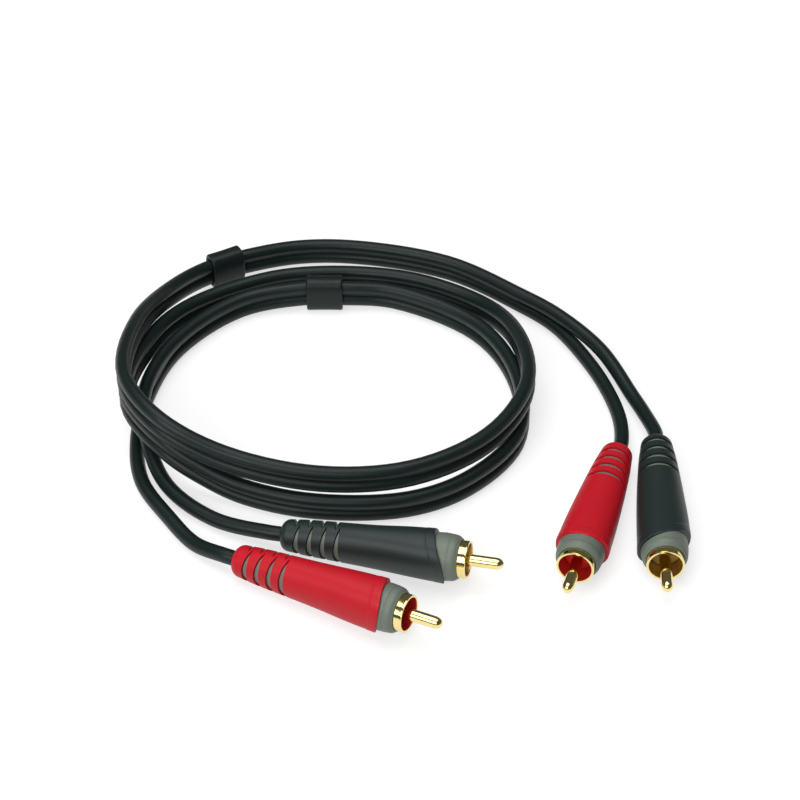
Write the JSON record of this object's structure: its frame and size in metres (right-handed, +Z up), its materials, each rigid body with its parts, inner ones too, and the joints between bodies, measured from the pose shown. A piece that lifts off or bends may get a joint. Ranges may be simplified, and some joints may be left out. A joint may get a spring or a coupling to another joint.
{
  "type": "stereo phono audio cable",
  "caption": "Coiled stereo audio cable: two cords joined edge to edge, with phono plugs in tapered slotted boots at both ends and short sleeves round the pair.",
  "frame": {"origin": "middle of the footprint of the plugs and sleeves, on the table", "axes": "+Z up, -Y towards the picture's viewer, +X to the viewer's right"},
  "size_m": [0.158, 0.1665, 0.0267],
  "materials": {
    "cord_jacket": "satin",
    "black_boot": "satin",
    "red_boot": "satin",
    "grey_housing": "satin",
    "gold_contact": "polished",
    "red_insulator": "matte",
    "black_insulator": "matte",
    "core_insulation": "matte",
    "black_sleeve": "satin"
  },
  "bodies": {
    "root": {"front_black_boot": "black_boot", "front_black_housing": "grey_housing", "front_black_shell": "gold_contact", "front_black_insulator": "black_insulator", "front_black_pin": "gold_contact", "front_black_core": "core_insulation", "front_black_ground_tag": "gold_contact", "front_red_boot": "red_boot", "front_red_housing": "grey_housing", "front_red_shell": "gold_contact", "front_red_insulator": "red_insulator", "front_red_pin": "gold_contact", "front_red_core": "core_insulation", "front_red_ground_tag": "gold_contact", "right_black_boot": "black_boot", "right_black_housing": "grey_housing", "right_black_shell": "gold_contact", "right_black_insulator": "black_insulator", "right_black_pin": "gold_contact", "right_black_core": "core_insulation", "right_black_ground_tag": "gold_contact", "right_red_boot": "red_boot", "right_red_housing": "grey_housing", "right_red_shell": "gold_contact", "right_red_insulator": "red_insulator", "right_red_pin": "gold_contact", "right_red_core": "core_insulation", "right_red_ground_tag": "gold_contact", "back_sleeve": "black_sleeve", "inner_sleeve": "black_sleeve", "red_channel_jacket": "cord_jacket", "black_channel_jacket": "cord_jacket"}
  },
  "joints": []
}
